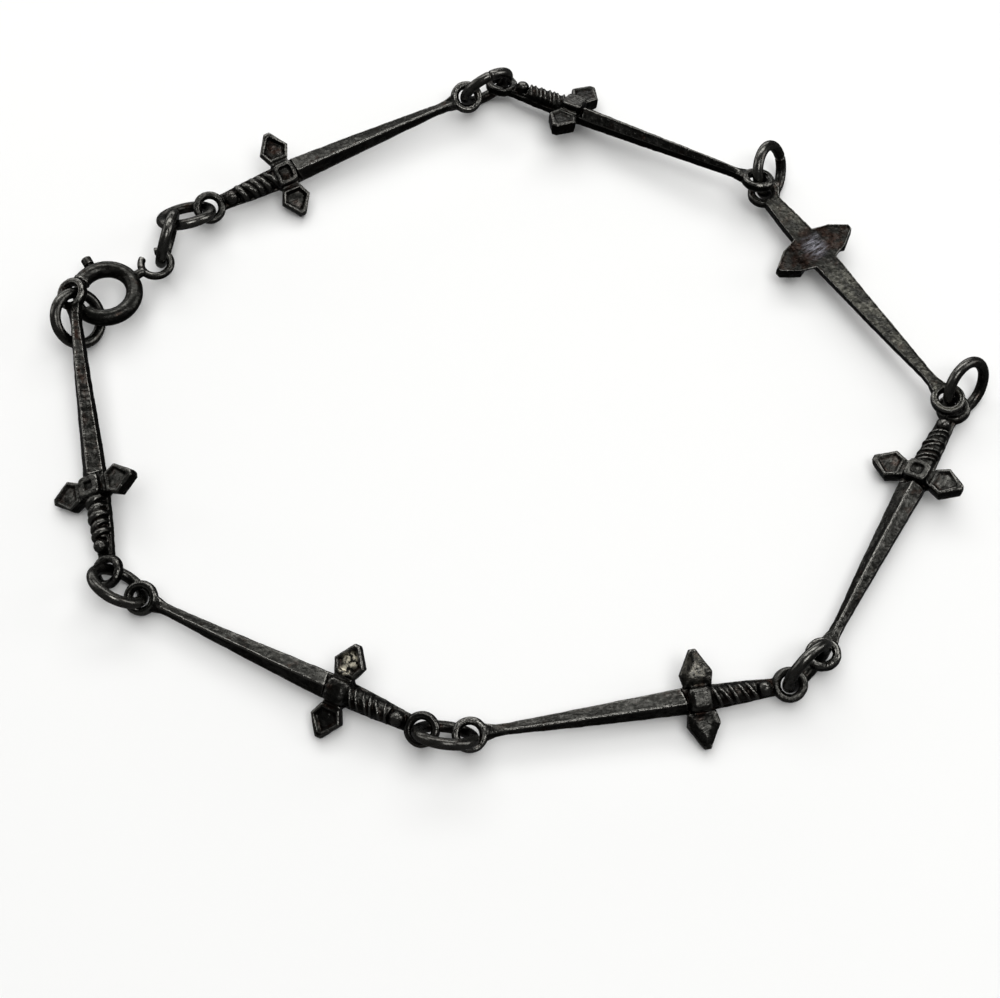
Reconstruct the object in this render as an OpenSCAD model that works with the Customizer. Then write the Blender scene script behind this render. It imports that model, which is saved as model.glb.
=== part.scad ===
// Chain link bracelet: seven cast sword links, wire jump rings and a spring ring clasp.
// It lies closed on a flat surface. Millimetres, +Z up.

/* [Sword link] */
// Distance between the centres of a sword's two eyes
link_l = 22; // [21:0.5:23]
// Outside diameter of an eye
eye_d = 2.46; // [2.4:0.02:2.6]
// Hole of an eye
eye_hole_d = 1.3; // [1.25:0.05:1.35]
// Thickness of an eye
eye_t = 0.72; // [0.6:0.02:0.74]
// Length of the cross guard from point to point
guard_l = 6.8; // [6:0.1:7.4]
// Widest part of a kite shaped guard end
kite_w = 2.3; // [1.9:0.1:2.5]
// Height of a guard end at its rim
kite_h = 1; // [0.8:0.05:1.1]
// Height of the raised block at the middle of the guard
block_h = 1.45; // [1.2:0.05:1.6]
// Width of the blade where it leaves the guard
blade_w = 1.85; // [1.6:0.05:2]
// Height of the blade's ridge where it leaves the guard
ridge_h = 1.2; // [1:0.05:1.3]
// Number of wire turns round the grip
wraps = 6; // [4:1:7]

/* [Jump rings] */
// Outside diameter of a jump ring
ring_d = 4.6; // [4.5:0.02:4.7]
// Wire of a jump ring
ring_wire = 0.8; // [0.6:0.05:0.85]
// Open slit where the ends of the wire meet
ring_slit = 0.08; // [0.04:0.02:0.2]

/* [Clasp] */
// Outside diameter of the clasp's ring
clasp_d = 5.5; // [5.4:0.05:5.6]
// Tube of the clasp
tube_d = 1.25; // [1.2:0.05:1.45]
// Bore of the tube
tube_bore = 0.84; // [0.8:0.02:0.9]
// Wire of the sliding bolt
bolt_d = 0.64; // [0.56:0.02:0.7]
// Outside diameter of the clasp's soldered eye
clasp_eye_d = 2.8; // [2.5:0.05:2.85]
// Wire of the clasp's soldered eye
clasp_eye_wire = 0.58; // [0.5:0.02:0.6]

/* [Hidden] */
$fn = 48;
silver = [0.20, 0.19, 0.18];

// Columns of the sword table: where the pommel eye's back is, which way the blade points,
// how much higher the tip eye lies than the pommel eye, and the roll about the blade
X = 0;
Y = 1;
Z = 2;
HEADING = 3;
RISE = 4;
ROLL = 5;
swords = [
    [-23.6, 15.7, 1.4, 27.5, 0.3, 26],
    [-1.3, 27.25, 1.05, -27.5, 1.55, -21],
    [18.75, 16.85, 2.15, -56.5, 0.65, 182],
    [31.55, -1.8, 1.1, -119.5, 0.2, 13],
    [18.25, -22.9, 1.1, -170.5, 0.15, -20],
    [-6.55, -26.25, 1.55, 153.5, -0.6, -24],
    [-28.6, -14.55, 1.07, 100.9, 1.83, -28.2]
];

// Columns of the ring table: centre, the way it leans, how far it leans from lying flat,
// and where the slit is
LEAN_WAY = 3;
LEAN = 4;
SLIT_AT = 5;
rings = [
    [-2.45, 26.45, 2.35, 119.5, 76, 182],
    [19.25, 18.6, 2.25, -23.5, 63, 75],
    [32.4, -0.3, 2.2, -46, 65, 310],
    [19.4, -22, 2.3, -46, 87, 345],
    [-5.05, -26.95, 2.35, 80, 54, 40],
    [-27.85, -15.95, 1.95, 49, 48.5, 350],
    [-32.5, 5.4, 2.3, -20.5, 46, 35],
    [-25.2, 14.6, 2.05, 105, 37, 315],
    [-26.4, 12.3, 2.45, 169, 78, 35]
];

// Place of the clasp: centre, heading of its eye, pitch and roll
clasp = [-30.69, 7.67, 2.1, 37.5, -1.65, 0.2];

// Sizes along a sword, from the centre of its pommel eye
boss_x = 1.8;
boss_d = 0.95;
boss_top = 1.12;
grip_start = 2.4;
grip_end = 5.5;
grip_d = 1.2;
wrap_d = 1.4;
wrap_slant = 28;
grip_back_w = 1.3;
grip_back_h = 0.45;
shank_w = 1.1;
shank_h = 0.62;
guard_x = 6.3;
block_l = 1.6;
block_w = 1.7;
neck_w = 1.45;
point_w = 0.44;
rim_w = 0.24;
sunk = 0.2;
bevel = 0.12;
edge = 0.2;
tip_w = 0.8;

// Sizes of the clasp, with its eye along +X
clasp_r = (clasp_d - tube_d) / 2;
eye_r = (clasp_eye_d - clasp_eye_wire) / 2;
clasp_eye_x = 4.42;
neck_x = clasp_r + tube_d / 2 - 0.12;
neck_d = 0.7;
tube_from = 195;
tube_to = 477;
slot_w = 0.46;
slot_from = 23;
slot_to = 93;
stem_d = 0.36;
knob_d = 0.8;
knob_at = 83;
knob_top = 3.45;
bolt_from = 76;
bolt_to = 199;

// Solid through a stack of outlines, each with the same number of points
module skin(outlines) {
    n = len(outlines[0]);
    last = len(outlines) - 1;
    polyhedron(
        points = [for (outline = outlines) each outline],
        faces = [
            [for (i = [0:n - 1]) i],
            for (k = [0:last - 1], i = [0:n - 1])
                [k * n + i, (k + 1) * n + i, (k + 1) * n + (i + 1) % n],
            for (k = [0:last - 1], i = [0:n - 1])
                [k * n + i, (k + 1) * n + (i + 1) % n, k * n + (i + 1) % n],
            [for (i = [n - 1:-1:0]) last * n + i]
        ],
        convexity = 4
    );
}

// Kite outline at one height, drawn in by an inset; v runs outward along the guard
function kite(z, inset) = let (
    v0 = block_w / 2 + 0.25 + inset,
    v1 = guard_l / 2 - 1.35,
    v2 = guard_l / 2 - inset * 1.35,
    w0 = neck_w / 2 - inset * 0.6,
    w1 = kite_w / 2 - inset,
    w2 = point_w / 2 - inset * 0.45
) [[w0, v0, z], [w1, v1, z], [w2, v2, z], [-w2, v2, z], [-w1, v1, z], [-w0, v0, z]];

// Block outline with cut corners at one height, drawn in by an inset
function block(z, inset) = let (
    u = block_l / 2 - inset,
    v = block_w / 2 - inset,
    c = 0.22
) [
    [u, -v + c, z], [u, v - c, z], [u - c, v, z], [-u + c, v, z],
    [-u, v - c, z], [-u, -v + c, z], [-u + c, -v, z], [u - c, -v, z]
];

// Blade section at one place along the sword, with a ridge between two flanks
function blade_section(x, w, flank, ridge) = [
    [x, -w / 2, 0], [x, w / 2, 0], [x, w / 2, flank], [x, 0, ridge], [x, -w / 2, flank]
];

// Round eye with bevelled edges
module eye() {
    inner = eye_hole_d / 2;
    outer = eye_d / 2;
    rotate_extrude()
        polygon([
            [inner + edge, 0], [outer - edge, 0], [outer, edge], [outer, eye_t - edge],
            [outer - edge, eye_t], [inner + edge, eye_t], [inner, eye_t - edge], [inner, edge]
        ]);
}

// Hole of an eye, opening wider at both faces
module eye_hole() {
    inner = eye_hole_d / 2;
    over = 0.4;
    rotate_extrude()
        polygon([
            [0, -over], [inner + edge + over, -over], [inner, edge], [inner, eye_t - edge],
            [inner + edge + over, eye_t + over], [0, eye_t + over]
        ]);
}

// Grip with its wire turns, flat at the back
module grip() {
    length = grip_end - grip_start;
    pitch = length / wraps;
    intersection() {
        union() {
            translate([grip_start - 0.3, 0, 0.52])
                rotate([0, 90, 0])
                    cylinder(d1 = grip_d * 0.9, d2 = grip_d * 1.1, h = length + 1);
            for (i = [0:wraps - 1])
                translate([grip_start + pitch * (i + 0.5), 0, 0.52])
                    rotate([0, 90, wrap_slant])
                        cylinder(d = wrap_d + 0.04 * i, h = pitch * 0.56, center = true);
        }
        translate([0, -2, 0])
            cube([guard_x, 4, 2]);
    }
    translate([grip_start, -grip_back_w / 2, 0])
        cube([grip_end - grip_start + 0.3, grip_back_w, grip_back_h]);
}

// Cross guard: raised block, two necks and two kite ends with a rim and a sunk middle
module guard() {
    translate([guard_x, 0, 0]) {
        skin([
            block(0, 0),
            block(block_h - 0.16, 0),
            block(block_h, 0.14),
            block(block_h, 0.34),
            block(block_h - 0.16, 0.4)
        ]);
        for (side = [0, 180])
            rotate([0, 0, side]) {
                translate([-neck_w / 2, 0, 0])
                    cube([neck_w, block_w / 2 + 0.6, kite_h * 0.85]);
                skin([
                    kite(0, 0.06),
                    kite(kite_h * 0.4, 0),
                    kite(kite_h - bevel, 0),
                    kite(kite_h, bevel * 0.6),
                    kite(kite_h, rim_w),
                    kite(kite_h - sunk, rim_w + 0.1)
                ]);
            }
    }
}

// Blade with its ridge, narrowing to the tip and spreading into the tip eye
module blade() {
    skin([
        blade_section(guard_x + 0.3, blade_w, 0.6, ridge_h),
        blade_section(guard_x + 2, blade_w * 0.97, 0.55, ridge_h),
        blade_section(link_l - 2.6, tip_w, 0.5, 0.85),
        blade_section(link_l - 1.8, tip_w * 1.05, 0.52, 0.78),
        blade_section(link_l - 1.1, tip_w * 1.45, 0.56, 0.7),
        blade_section(link_l - 0.7, tip_w * 1.6, 0.58, 0.66)
    ]);
}

// One sword link, back down, with its pommel eye round the Z axis and its tip along +X
module sword() {
    color(silver)
        difference() {
            union() {
                eye();
                translate([link_l, 0, 0])
                    eye();
                translate([0.9, -shank_w / 2, 0])
                    cube([grip_start - 0.8, shank_w, shank_h]);
                translate([boss_x, 0, 0]) {
                    cylinder(d = boss_d, h = boss_top - boss_d / 2);
                    translate([0, 0, boss_top - boss_d / 2])
                        sphere(d = boss_d);
                }
                grip();
                guard();
                blade();
            }
            for (x = [0, link_l])
                translate([x, 0, 0])
                    eye_hole();
        }
}

// Sword from its row of the table
module sword_at(row) {
    pitch = asin(row[RISE] / link_l);
    translate([row[X], row[Y], row[Z]])
        rotate([row[ROLL], -pitch, row[HEADING]])
            sword();
}

// One round jump ring lying flat round the Z axis, with its slit at +X
module jump_ring() {
    r = (ring_d - ring_wire) / 2;
    half_slit = ring_slit / r * 90 / PI;
    color(silver)
        rotate_extrude(angle = 360 - 2 * half_slit, start = half_slit)
            translate([r, 0])
                circle(d = ring_wire);
}

// Jump ring from its row of the table
module ring_at(row) {
    translate([row[X], row[Y], row[Z]])
        rotate([0, row[LEAN], row[LEAN_WAY]])
            rotate([0, 0, row[SLIT_AT]])
                jump_ring();
}

// Clasp's hollow tube with its collar, the slot for the knob, and the soldered wire eye
module clasp_body_shape() {
    color(silver)
        difference() {
            union() {
                rotate_extrude(angle = tube_to - tube_from, start = tube_from)
                    translate([clasp_r, 0])
                        circle(d = tube_d);
                rotate_extrude(angle = 5, start = tube_to - 5)
                    translate([clasp_r, 0])
                        circle(d = tube_d + 0.08);
                translate([clasp_eye_x, 0, 0])
                    rotate_extrude(angle = 304, start = 120)
                        translate([eye_r, 0])
                            circle(d = clasp_eye_wire);
                translate([neck_x, 0, 0])
                    rotate([0, 90, 0])
                        cylinder(d = neck_d, h = clasp_eye_x - eye_r - neck_x);
            }
            rotate_extrude(angle = tube_to - tube_from + 2, start = tube_from - 1)
                translate([clasp_r, 0])
                    circle(d = tube_bore);
            rotate_extrude(angle = slot_to - slot_from, start = slot_from)
                translate([clasp_r + tube_bore / 2 - 0.15, -slot_w / 2])
                    square([tube_d, slot_w]);
        }
}

// Clasp's sliding bolt: curved wire with a thumb knob on its stem
module clasp_bolt_shape() {
    color(silver)
        union() {
            rotate_extrude(angle = bolt_to - bolt_from, start = bolt_from)
                translate([clasp_r, 0])
                    circle(d = bolt_d);
            rotate([0, 90, knob_at])
                translate([0, 0, clasp_r])
                    cylinder(d = stem_d, h = knob_top - clasp_r - 0.3);
            rotate([0, 90, knob_at])
                translate([0, 0, clasp_r + tube_d / 2 + 0.1])
                    cylinder(d = knob_d, h = knob_top - clasp_r - tube_d / 2 - 0.1);
        }
}

// Puts the clasp's pieces where they lie
module at_clasp() {
    translate([clasp[0], clasp[1], clasp[2]])
        rotate([clasp[5], -clasp[4], clasp[3]])
            children();
}

module clasp_body() {
    at_clasp()
        clasp_body_shape();
}

module clasp_bolt() {
    at_clasp()
        clasp_bolt_shape();
}

sword_at(swords[0]);  // sword_1
sword_at(swords[1]);  // sword_2
sword_at(swords[2]);  // sword_3
sword_at(swords[3]);  // sword_4
sword_at(swords[4]);  // sword_5
sword_at(swords[5]);  // sword_6
sword_at(swords[6]);  // sword_7
ring_at(rings[0]);  // ring_1_2
ring_at(rings[1]);  // ring_2_3
ring_at(rings[2]);  // ring_3_4
ring_at(rings[3]);  // ring_4_5
ring_at(rings[4]);  // ring_5_6
ring_at(rings[5]);  // ring_6_7
ring_at(rings[6]);  // ring_7_clasp
ring_at(rings[7]);  // ring_1_end
ring_at(rings[8]);  // ring_clasp_end
clasp_body();
clasp_bolt();
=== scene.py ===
"""Chain link bracelet: cast sword links, jump rings and a spring ring clasp in blackened silver.

Shapes are built in millimetres, back down and along +X, and scaled to metres in their places.
"""

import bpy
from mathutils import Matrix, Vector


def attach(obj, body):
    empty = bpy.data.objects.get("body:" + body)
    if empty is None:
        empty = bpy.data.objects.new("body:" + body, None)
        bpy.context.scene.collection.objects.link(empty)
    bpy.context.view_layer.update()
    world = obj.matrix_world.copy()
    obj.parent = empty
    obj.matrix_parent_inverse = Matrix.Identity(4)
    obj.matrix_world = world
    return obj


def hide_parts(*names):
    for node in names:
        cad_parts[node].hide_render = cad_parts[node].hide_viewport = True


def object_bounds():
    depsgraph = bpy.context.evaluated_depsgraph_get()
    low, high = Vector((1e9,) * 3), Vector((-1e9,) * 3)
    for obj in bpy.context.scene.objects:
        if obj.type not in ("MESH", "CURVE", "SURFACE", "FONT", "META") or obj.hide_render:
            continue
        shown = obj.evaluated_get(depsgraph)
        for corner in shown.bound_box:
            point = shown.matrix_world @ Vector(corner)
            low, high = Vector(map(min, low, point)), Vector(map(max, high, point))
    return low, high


bl_info = {
    "name": "Sword Link Bracelet",
    "version": (1, 0, 0),
    "blender": (4, 5, 0),
    "location": "3D View > Sidebar > Bracelet",
    "description": "Cast sword links, jump rings and a spring ring clasp in blackened silver",
    "category": "Add Mesh",
}

import math
from collections import namedtuple
from types import SimpleNamespace

import bmesh
import bpy
import numpy as np
from bpy.props import FloatProperty, FloatVectorProperty, IntProperty, PointerProperty
from mathutils import Matrix, Vector

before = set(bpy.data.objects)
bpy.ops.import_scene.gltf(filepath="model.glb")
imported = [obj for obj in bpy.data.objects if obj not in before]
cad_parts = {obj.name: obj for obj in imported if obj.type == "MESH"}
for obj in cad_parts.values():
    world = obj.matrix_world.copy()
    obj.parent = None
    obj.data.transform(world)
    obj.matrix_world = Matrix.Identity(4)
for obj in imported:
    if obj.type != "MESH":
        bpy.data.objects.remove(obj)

MM = 0.001
# Two corners of the plain part's box, which the dressed part stays inside
LIMITS = [list(corner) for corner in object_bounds()]

# Along a sword link from its pommel eye: the wound part of the grip, and the middle of the guard
GRIP_START, GRIP_END = 2.4, 5.5
GUARD_X = 6.3

# Where a sword lies: back of its pommel eye, heading of the blade, how much higher the tip eye
# lies, and roll about the blade, in millimetres and degrees
Lie = namedtuple("Lie", "x y z heading rise roll")
SWORD_LIES = {
    "sword_1": Lie(-23.6, 15.7, 1.4, 27.5, 0.3, 26),
    "sword_2": Lie(-1.3, 27.25, 1.05, -27.5, 1.55, -21),
    "sword_3": Lie(18.75, 16.85, 2.15, -56.5, 0.65, 182),
    "sword_4": Lie(31.55, -1.8, 1.1, -119.5, 0.2, 13),
    "sword_5": Lie(18.25, -22.9, 1.1, -170.5, 0.15, -20),
    "sword_6": Lie(-6.55, -26.25, 1.55, 153.5, -0.6, -24),
    "sword_7": Lie(-28.6, -14.55, 1.07, 100.9, 1.83, -28.2),
}

# How a casting came out: sink of the block's middle and width of its border, sink of the kites
# (below zero they stand proud), fullness of the web and the blade, ridge off the middle, sideways
# bow, depth of the grain, how pale its tarnish is, turns of wire more or fewer, half the width of
# a turn, and where its noise starts
Cast = namedtuple("Cast", "recess border dish web blade ridge bow grain tone wraps cord seed")
SWORD_CASTS = {
    "sword_1": Cast(0.24, 0.30, 0.26, 0.0, 1.00, -0.13, 0.04, 0.020, 0.9, -1, 0.24, 11),
    "sword_2": Cast(0.02, 0.45, 0.16, 0.0, 0.95, -0.22, -0.06, 0.045, 0.9, 2, 0.11, 23),
    "sword_3": Cast(0.15, 0.28, 0.20, 1.0, 1.00, 0.0, 0.05, 0.035, 1.0, 0, 0.16, 37),
    "sword_4": Cast(0.20, 0.38, 0.17, 0.0, 1.00, 0.10, -0.03, 0.030, 1.0, 1, 0.12, 41),
    "sword_5": Cast(-0.12, 0.14, -0.16, 0.0, 0.98, 0.17, 0.03, 0.025, 1.0, -1, 0.15, 53),
    "sword_6": Cast(-0.06, 0.26, 0.24, 0.0, 0.97, 0.0, 0.04, 0.030, 1.0, 0, 0.12, 67),
    "sword_7": Cast(0.14, 0.45, 0.14, 0.0, 0.93, 0.0, 0.06, 0.035, 1.0, -1, 0.27, 79),
}

# Places on a sword's face: along, across, radius, how worn, how bare and how dark with age
Spot = namedtuple("Spot", "x y radius worn bare aged")
BOSS, BLOCK = (1.84, 0), (GUARD_X, 0)
LEFT_KITE, RIGHT_KITE = (GUARD_X, 2.3), (GUARD_X, -2.3)
SPOTS = {
    "sword_1": (
        Spot(*LEFT_KITE, 0.95, 0, 0, 1.0),
        Spot(*BLOCK, 0.55, 0, 0, 1.0),
        Spot(*RIGHT_KITE, 0.95, 0, 0, 0.7),
        Spot(*BLOCK, 4.0, 0.4, 0, 0),
        Spot(*BOSS, 0.9, 0.5, 0, 0),
        Spot(*BOSS, 0.4, 0, 0, 1.0),
    ),
    "sword_2": (
        Spot(*LEFT_KITE, 0.9, 0, 0, 0.4),
        Spot(*BLOCK, 1.3, 0.5, 0, 0),
        Spot(*BOSS, 1.0, 0.35, 0, 0),
    ),
    "sword_4": (
        Spot(*BLOCK, 0.6, 0, 0, 0.6),
        Spot(*BLOCK, 1.6, 0.42, 0, 0),
        Spot(*BOSS, 1.2, 0.25, 0, 0),
    ),
    "sword_5": (
        Spot(GUARD_X, -2.0, 1.4, 0.47, 0.1, 0),
        Spot(*BLOCK, 1.6, 0.4, 0, 0),
        Spot(GUARD_X, 2.2, 1.2, 0.4, 0, 0),
        Spot(*BOSS, 0.8, 0.4, 0, 0),
    ),
    "sword_6": (
        Spot(GUARD_X, -2.25, 0.75, 0.3, 0.9, 0),
        Spot(6.4, -1.5, 0.5, 0.4, 0.8, 0),
        Spot(4.2, 0, 3.0, 0.3, 0, 0),
        Spot(*BLOCK, 1.2, 0.3, 0, 0),
    ),
    "sword_7": (
        Spot(*BLOCK, 4.0, 0.5, 0, 0),
        Spot(3.4, 0, 3.4, 0.55, 0, 0),
        Spot(15, 0, 10, 0, 0, 0.6),
    ),
}
FILED_SWORD = "sword_3"

# Where a jump ring lies: centre, the way it leans, how far it leans, and where its slit is
Hang = namedtuple("Hang", "x y z way lean slit")
RING_HANGS = {
    "ring_1_2": Hang(-2.45, 26.45, 2.35, 119.5, 76, 182),
    "ring_2_3": Hang(19.25, 18.6, 2.25, -23.5, 63, 75),
    "ring_3_4": Hang(32.4, -0.3, 2.2, -46, 65, 310),
    "ring_4_5": Hang(19.4, -22, 2.3, -46, 87, 345),
    "ring_5_6": Hang(-5.05, -26.95, 2.35, 80, 54, 40),
    "ring_6_7": Hang(-27.85, -15.95, 1.95, 49, 48.5, 350),
    "ring_7_clasp": Hang(-32.5, 5.4, 2.3, -20.5, 46, 35),
    "ring_1_end": Hang(-25.2, 14.6, 2.05, 105, 37, 315),
    "ring_clasp_end": Hang(-26.4, 12.3, 2.45, 169, 78, 35),
}


def length(name, description, millimetres):
    """Length setting, kept in metres as Blender keeps lengths."""
    return FloatProperty(
        name=name, description=description, default=millimetres * MM, min=0.0, precision=6, unit="LENGTH",
    )


def colour(name, description, shade):
    """Colour setting without transparency."""
    return FloatVectorProperty(
        name=name, description=description, default=(*shade, 1.0), size=4, min=0.0, max=1.0,
        subtype="COLOR",
    )


class SwordLinkSettings(bpy.types.PropertyGroup):
    """Sizes of one cast sword link."""

    link_length: length("Link Length", "Between the centres of the two eyes", 22.0)
    eye_outside: length("Eye Outside", "Outside diameter of an eye", 2.46)
    eye_hole: length("Eye Hole", "Hole of an eye", 1.3)
    eye_thickness: length("Eye Thickness", "Thickness of an eye", 0.72)
    guard_length: length("Guard Length", "Cross guard from point to point", 6.8)
    kite_width: length("Kite Width", "Widest part of a kite shaped guard end", 2.3)
    kite_height: length("Kite Height", "Height of a guard end at its rim", 1.0)
    block_height: length("Block Height", "Height of the raised block at the middle of the guard", 1.45)
    blade_width: length("Blade Width", "Blade where it leaves the guard", 1.85)
    ridge_height: length("Ridge Height", "Ridge of the blade where it leaves the guard", 1.2)
    wraps: IntProperty(name="Wraps", description="Turns of wire round the grip", default=6, min=4, max=7)
    skin: length("Skin Detail", "Cell that the casting's parts are fused with", 0.05)


class WireSettings(bpy.types.PropertyGroup):
    """Sizes of the jump rings and of the clasp's skin."""

    ring_outside: length("Ring Outside", "Outside diameter of a jump ring", 4.6)
    ring_wire: length("Ring Wire", "Wire of a jump ring", 0.8)
    ring_slit: length("Ring Slit", "Gap where the ends of a ring's wire meet", 0.08)
    clasp_skin: length("Clasp Detail", "Cell that the clasp's surface is remade with", 0.045)
    bolt_skin: length("Bolt Detail", "Cell that the bolt's surface is remade with", 0.035)


class FinishSettings(bpy.types.PropertyGroup):
    """Colours of the blackened silver."""

    black: colour("Black", "Blackened silver", (0.050, 0.0495, 0.045))
    brown: colour("Brown", "Red brown tarnish in the hollows", (0.056, 0.034, 0.026))
    green: colour("Green", "Pale green brown tarnish on the flat backs", (0.135, 0.132, 0.112))
    worn: colour("Worn", "Silver where edges are rubbed", (0.225, 0.22, 0.203))
    bare: colour("Bare", "Silver rubbed clean", (0.80, 0.74, 0.58))
    filed: colour("Filed", "Cold grey of a filed patch", (0.20, 0.197, 0.22))


class StageSettings(bpy.types.PropertyGroup):
    """Floor and camera."""

    floor: colour("Floor", "Pale floor", (0.88, 0.88, 0.87))
    elevation: FloatProperty(
        name="Elevation", description="Camera's angle above the floor", default=math.radians(64),
        subtype="ANGLE",
    )
    aim: FloatVectorProperty(
        name="Aim", description="Point on the floor that the camera looks at",
        default=(-1.4 * MM, -8.3 * MM, 0.0), size=3, precision=6, subtype="TRANSLATION",
    )
    distance: length("Distance", "From the camera to its aim", 143.5)
    lens: FloatProperty(
        name="Lens", description="Focal length of the camera", default=72.0, unit="CAMERA",
    )


def in_millimetres(settings):
    """The lengths and counts of a settings group, with lengths in millimetres."""
    values = {}
    for key, prop in settings.bl_rna.properties.items():
        if prop.type in {"FLOAT", "INT"}:
            value = getattr(settings, key)
            values[key] = value / MM if prop.type == "FLOAT" else value
    return SimpleNamespace(**values)


# Mesh helpers


def loft(bm, outlines):
    """Closed body through a stack of outlines with the same number of points."""
    rings = [[bm.verts.new(point) for point in outline] for outline in outlines]
    for low, high in zip(rings, rings[1:]):
        for i in range(len(low)):
            bm.faces.new((low[i - 1], low[i], high[i], high[i - 1]))
    bm.faces.new(rings[0][::-1])
    bm.faces.new(rings[-1])


def lathe(bm, profile, steps, place=Matrix()):
    """Band made by turning a closed profile of (radius, height) round the Z axis."""
    turns = []
    for angle in np.linspace(0, 2 * math.pi, steps, endpoint=False):
        c, s = math.cos(angle), math.sin(angle)
        turns.append([bm.verts.new(place @ Vector((r * c, r * s, z))) for r, z in profile])
    for k, here in enumerate(turns):
        before = turns[k - 1]
        for i in range(len(profile)):
            bm.faces.new((before[i - 1], here[i - 1], here[i], before[i]))


def brick(bm, low, high):
    """Square cornered body between two corners."""
    centre, size = (Vector(low) + Vector(high)) / 2, Vector(high) - Vector(low)
    bmesh.ops.create_cube(bm, size=1, matrix=Matrix.Translation(centre) @ Matrix.Diagonal((*size, 1)))


def circle(radius, steps=24):
    """Points round a circle."""
    turn = 2 * math.pi / steps
    return [(radius * math.cos(i * turn), radius * math.sin(i * turn)) for i in range(steps)]


def rows_of(mesh, layer="co"):
    """Vertex positions or normals as rows of three numbers."""
    source = mesh.vertices if layer == "co" else mesh.vertex_normals
    rows = np.empty(len(mesh.vertices) * 3)
    source.foreach_get("co" if layer == "co" else "vector", rows)
    return rows.reshape(-1, 3)


def move_to(mesh, rows):
    """Moves a mesh's vertices to new positions."""
    mesh.vertices.foreach_set("co", rows.ravel())
    mesh.update()


# Skins

# Shares of their triangles that the remade meshes keep, to hold the bracelet under a million
SWORD_SHARE, CLASP_SHARE = 0.8, 0.6
# Size of the waves and of the grain of a casting
WOBBLE_SIZE, GRAIN_SIZE = 1.1, 0.3
# How far one step of a seed shifts the noise of a casting's shape, and of its finish
SHAPE_STEP, FINISH_STEP = (3.7, 1.3, 0.7), (3.1, 1.7, 0)
# Rounds of averaging that a fine edge and a broad form are measured against
FINE_ROUNDS, BROAD_ROUNDS = 16, 60


def modified(mesh, *modifiers):
    """Mesh with modifiers applied, each given as its kind and its settings, in place of the old one."""
    holder = bpy.data.objects.new("holder", mesh)
    bpy.context.scene.collection.objects.link(holder)
    for kind, settings in modifiers:
        made = holder.modifiers.new(kind, kind)
        for key, value in settings.items():
            setattr(made, key, value)
    holder_now = holder.evaluated_get(bpy.context.evaluated_depsgraph_get())
    result = bpy.data.meshes.new_from_object(holder_now)
    bpy.data.objects.remove(holder)
    bpy.data.meshes.remove(mesh)
    return result


def fused(bm, cell, rounds):
    """Mesh of the loose bodies in bm, fused into one skin with softened edges."""
    loose = bpy.data.meshes.new("loose")
    bm.to_mesh(loose)
    bm.free()
    fuse = ("REMESH", {"mode": "VOXEL", "voxel_size": cell})
    soften = ("SMOOTH", {"factor": 0.5, "iterations": rounds})
    return modified(loose, fuse, soften)


def roughened(skin, seed, wobble, grain):
    """Smooth skin given the slow waves and the grain of a casting."""
    shift = Matrix.Translation([seed * step for step in SHAPE_STEP])
    skin.transform(shift)
    bends = []
    for name, size, depth in (("wobble", WOBBLE_SIZE, wobble), ("grain", GRAIN_SIZE, grain)):
        texture = bpy.data.textures.new(name, "CLOUDS")
        texture.noise_scale = size
        texture.noise_depth = 1
        bends.append(("DISPLACE", {"texture": texture, "strength": depth}))
    result = modified(skin, *bends)
    result.transform(shift.inverted())
    return result


def thinned(mesh, share):
    """Mesh with only a share of its triangles, the rest merged where it is smoothest."""
    return modified(mesh, ("DECIMATE", {"ratio": share}))


def smoothed(mesh, rows, rounds):
    """Rows averaged along the mesh's edges a number of times."""
    ends = np.empty(len(mesh.edges) * 2, np.int64)
    mesh.edges.foreach_get("vertices", ends)
    a, b = ends.reshape(-1, 2).T
    count = len(rows)
    share = 1 / np.maximum(np.bincount(ends, minlength=count), 1)
    for _ in range(rounds):
        sums = [
            np.bincount(a, column[b], count) + np.bincount(b, column[a], count) for column in rows.T
        ]
        rows = 0.5 * rows + 0.5 * np.stack(sums, 1) * share[:, None]
    return rows


def relief(mesh, rounds):
    """How far each vertex stands above its surroundings, in millimetres."""
    co = rows_of(mesh)
    return ((co - smoothed(mesh, co, rounds)) * rows_of(mesh, "normal")).sum(1)


def ramp(values, low, high):
    """Values taken smoothly from 0 at low to 1 at high."""
    t = np.clip((values - low) / (high - low), 0, 1)
    return t * t * (3 - 2 * t)


def store(mesh, **layers):
    """Keeps a number, or a vector, for each vertex under the names that the materials read."""
    for name, values in layers.items():
        values = np.broadcast_to(values, (len(mesh.vertices),)) if np.ndim(values) < 2 else values
        kind, field = ("FLOAT", "value") if values.ndim == 1 else ("FLOAT_VECTOR", "vector")
        layer = mesh.attributes.new(name, kind, "POINT")
        layer.data.foreach_set(field, np.ascontiguousarray(values, np.float32).ravel())


def turned(place, about_z, about_y, about_x):
    """Place after turns about X, then Y, then Z, in degrees."""
    made = Matrix.Translation(place)
    for angle, axis in ((about_z, "Z"), (about_y, "Y"), (about_x, "X")):
        made = made @ Matrix.Rotation(math.radians(angle), 4, axis)
    return made


def set_in_place(mesh, name, place, material, body, node):
    """Puts a piece in its place in metres, on its body, and lets it stand for its plain solid."""
    mesh.transform(Matrix.Scale(MM, 4) @ place)
    move_to(mesh, np.clip(rows_of(mesh), *LIMITS))
    mesh.materials.clear()
    mesh.materials.append(material)
    mesh.polygons.foreach_set("use_smooth", [True] * len(mesh.polygons))
    mesh.update()
    piece = bpy.data.objects.new(name, mesh)
    bpy.context.scene.collection.objects.link(piece)
    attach(piece, body)
    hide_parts(node)


# Sword link

EYE_BEVEL, EYE_ROUND, EYE_FOOT_ROUND = 0.18, 0.14, 0.12
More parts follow.
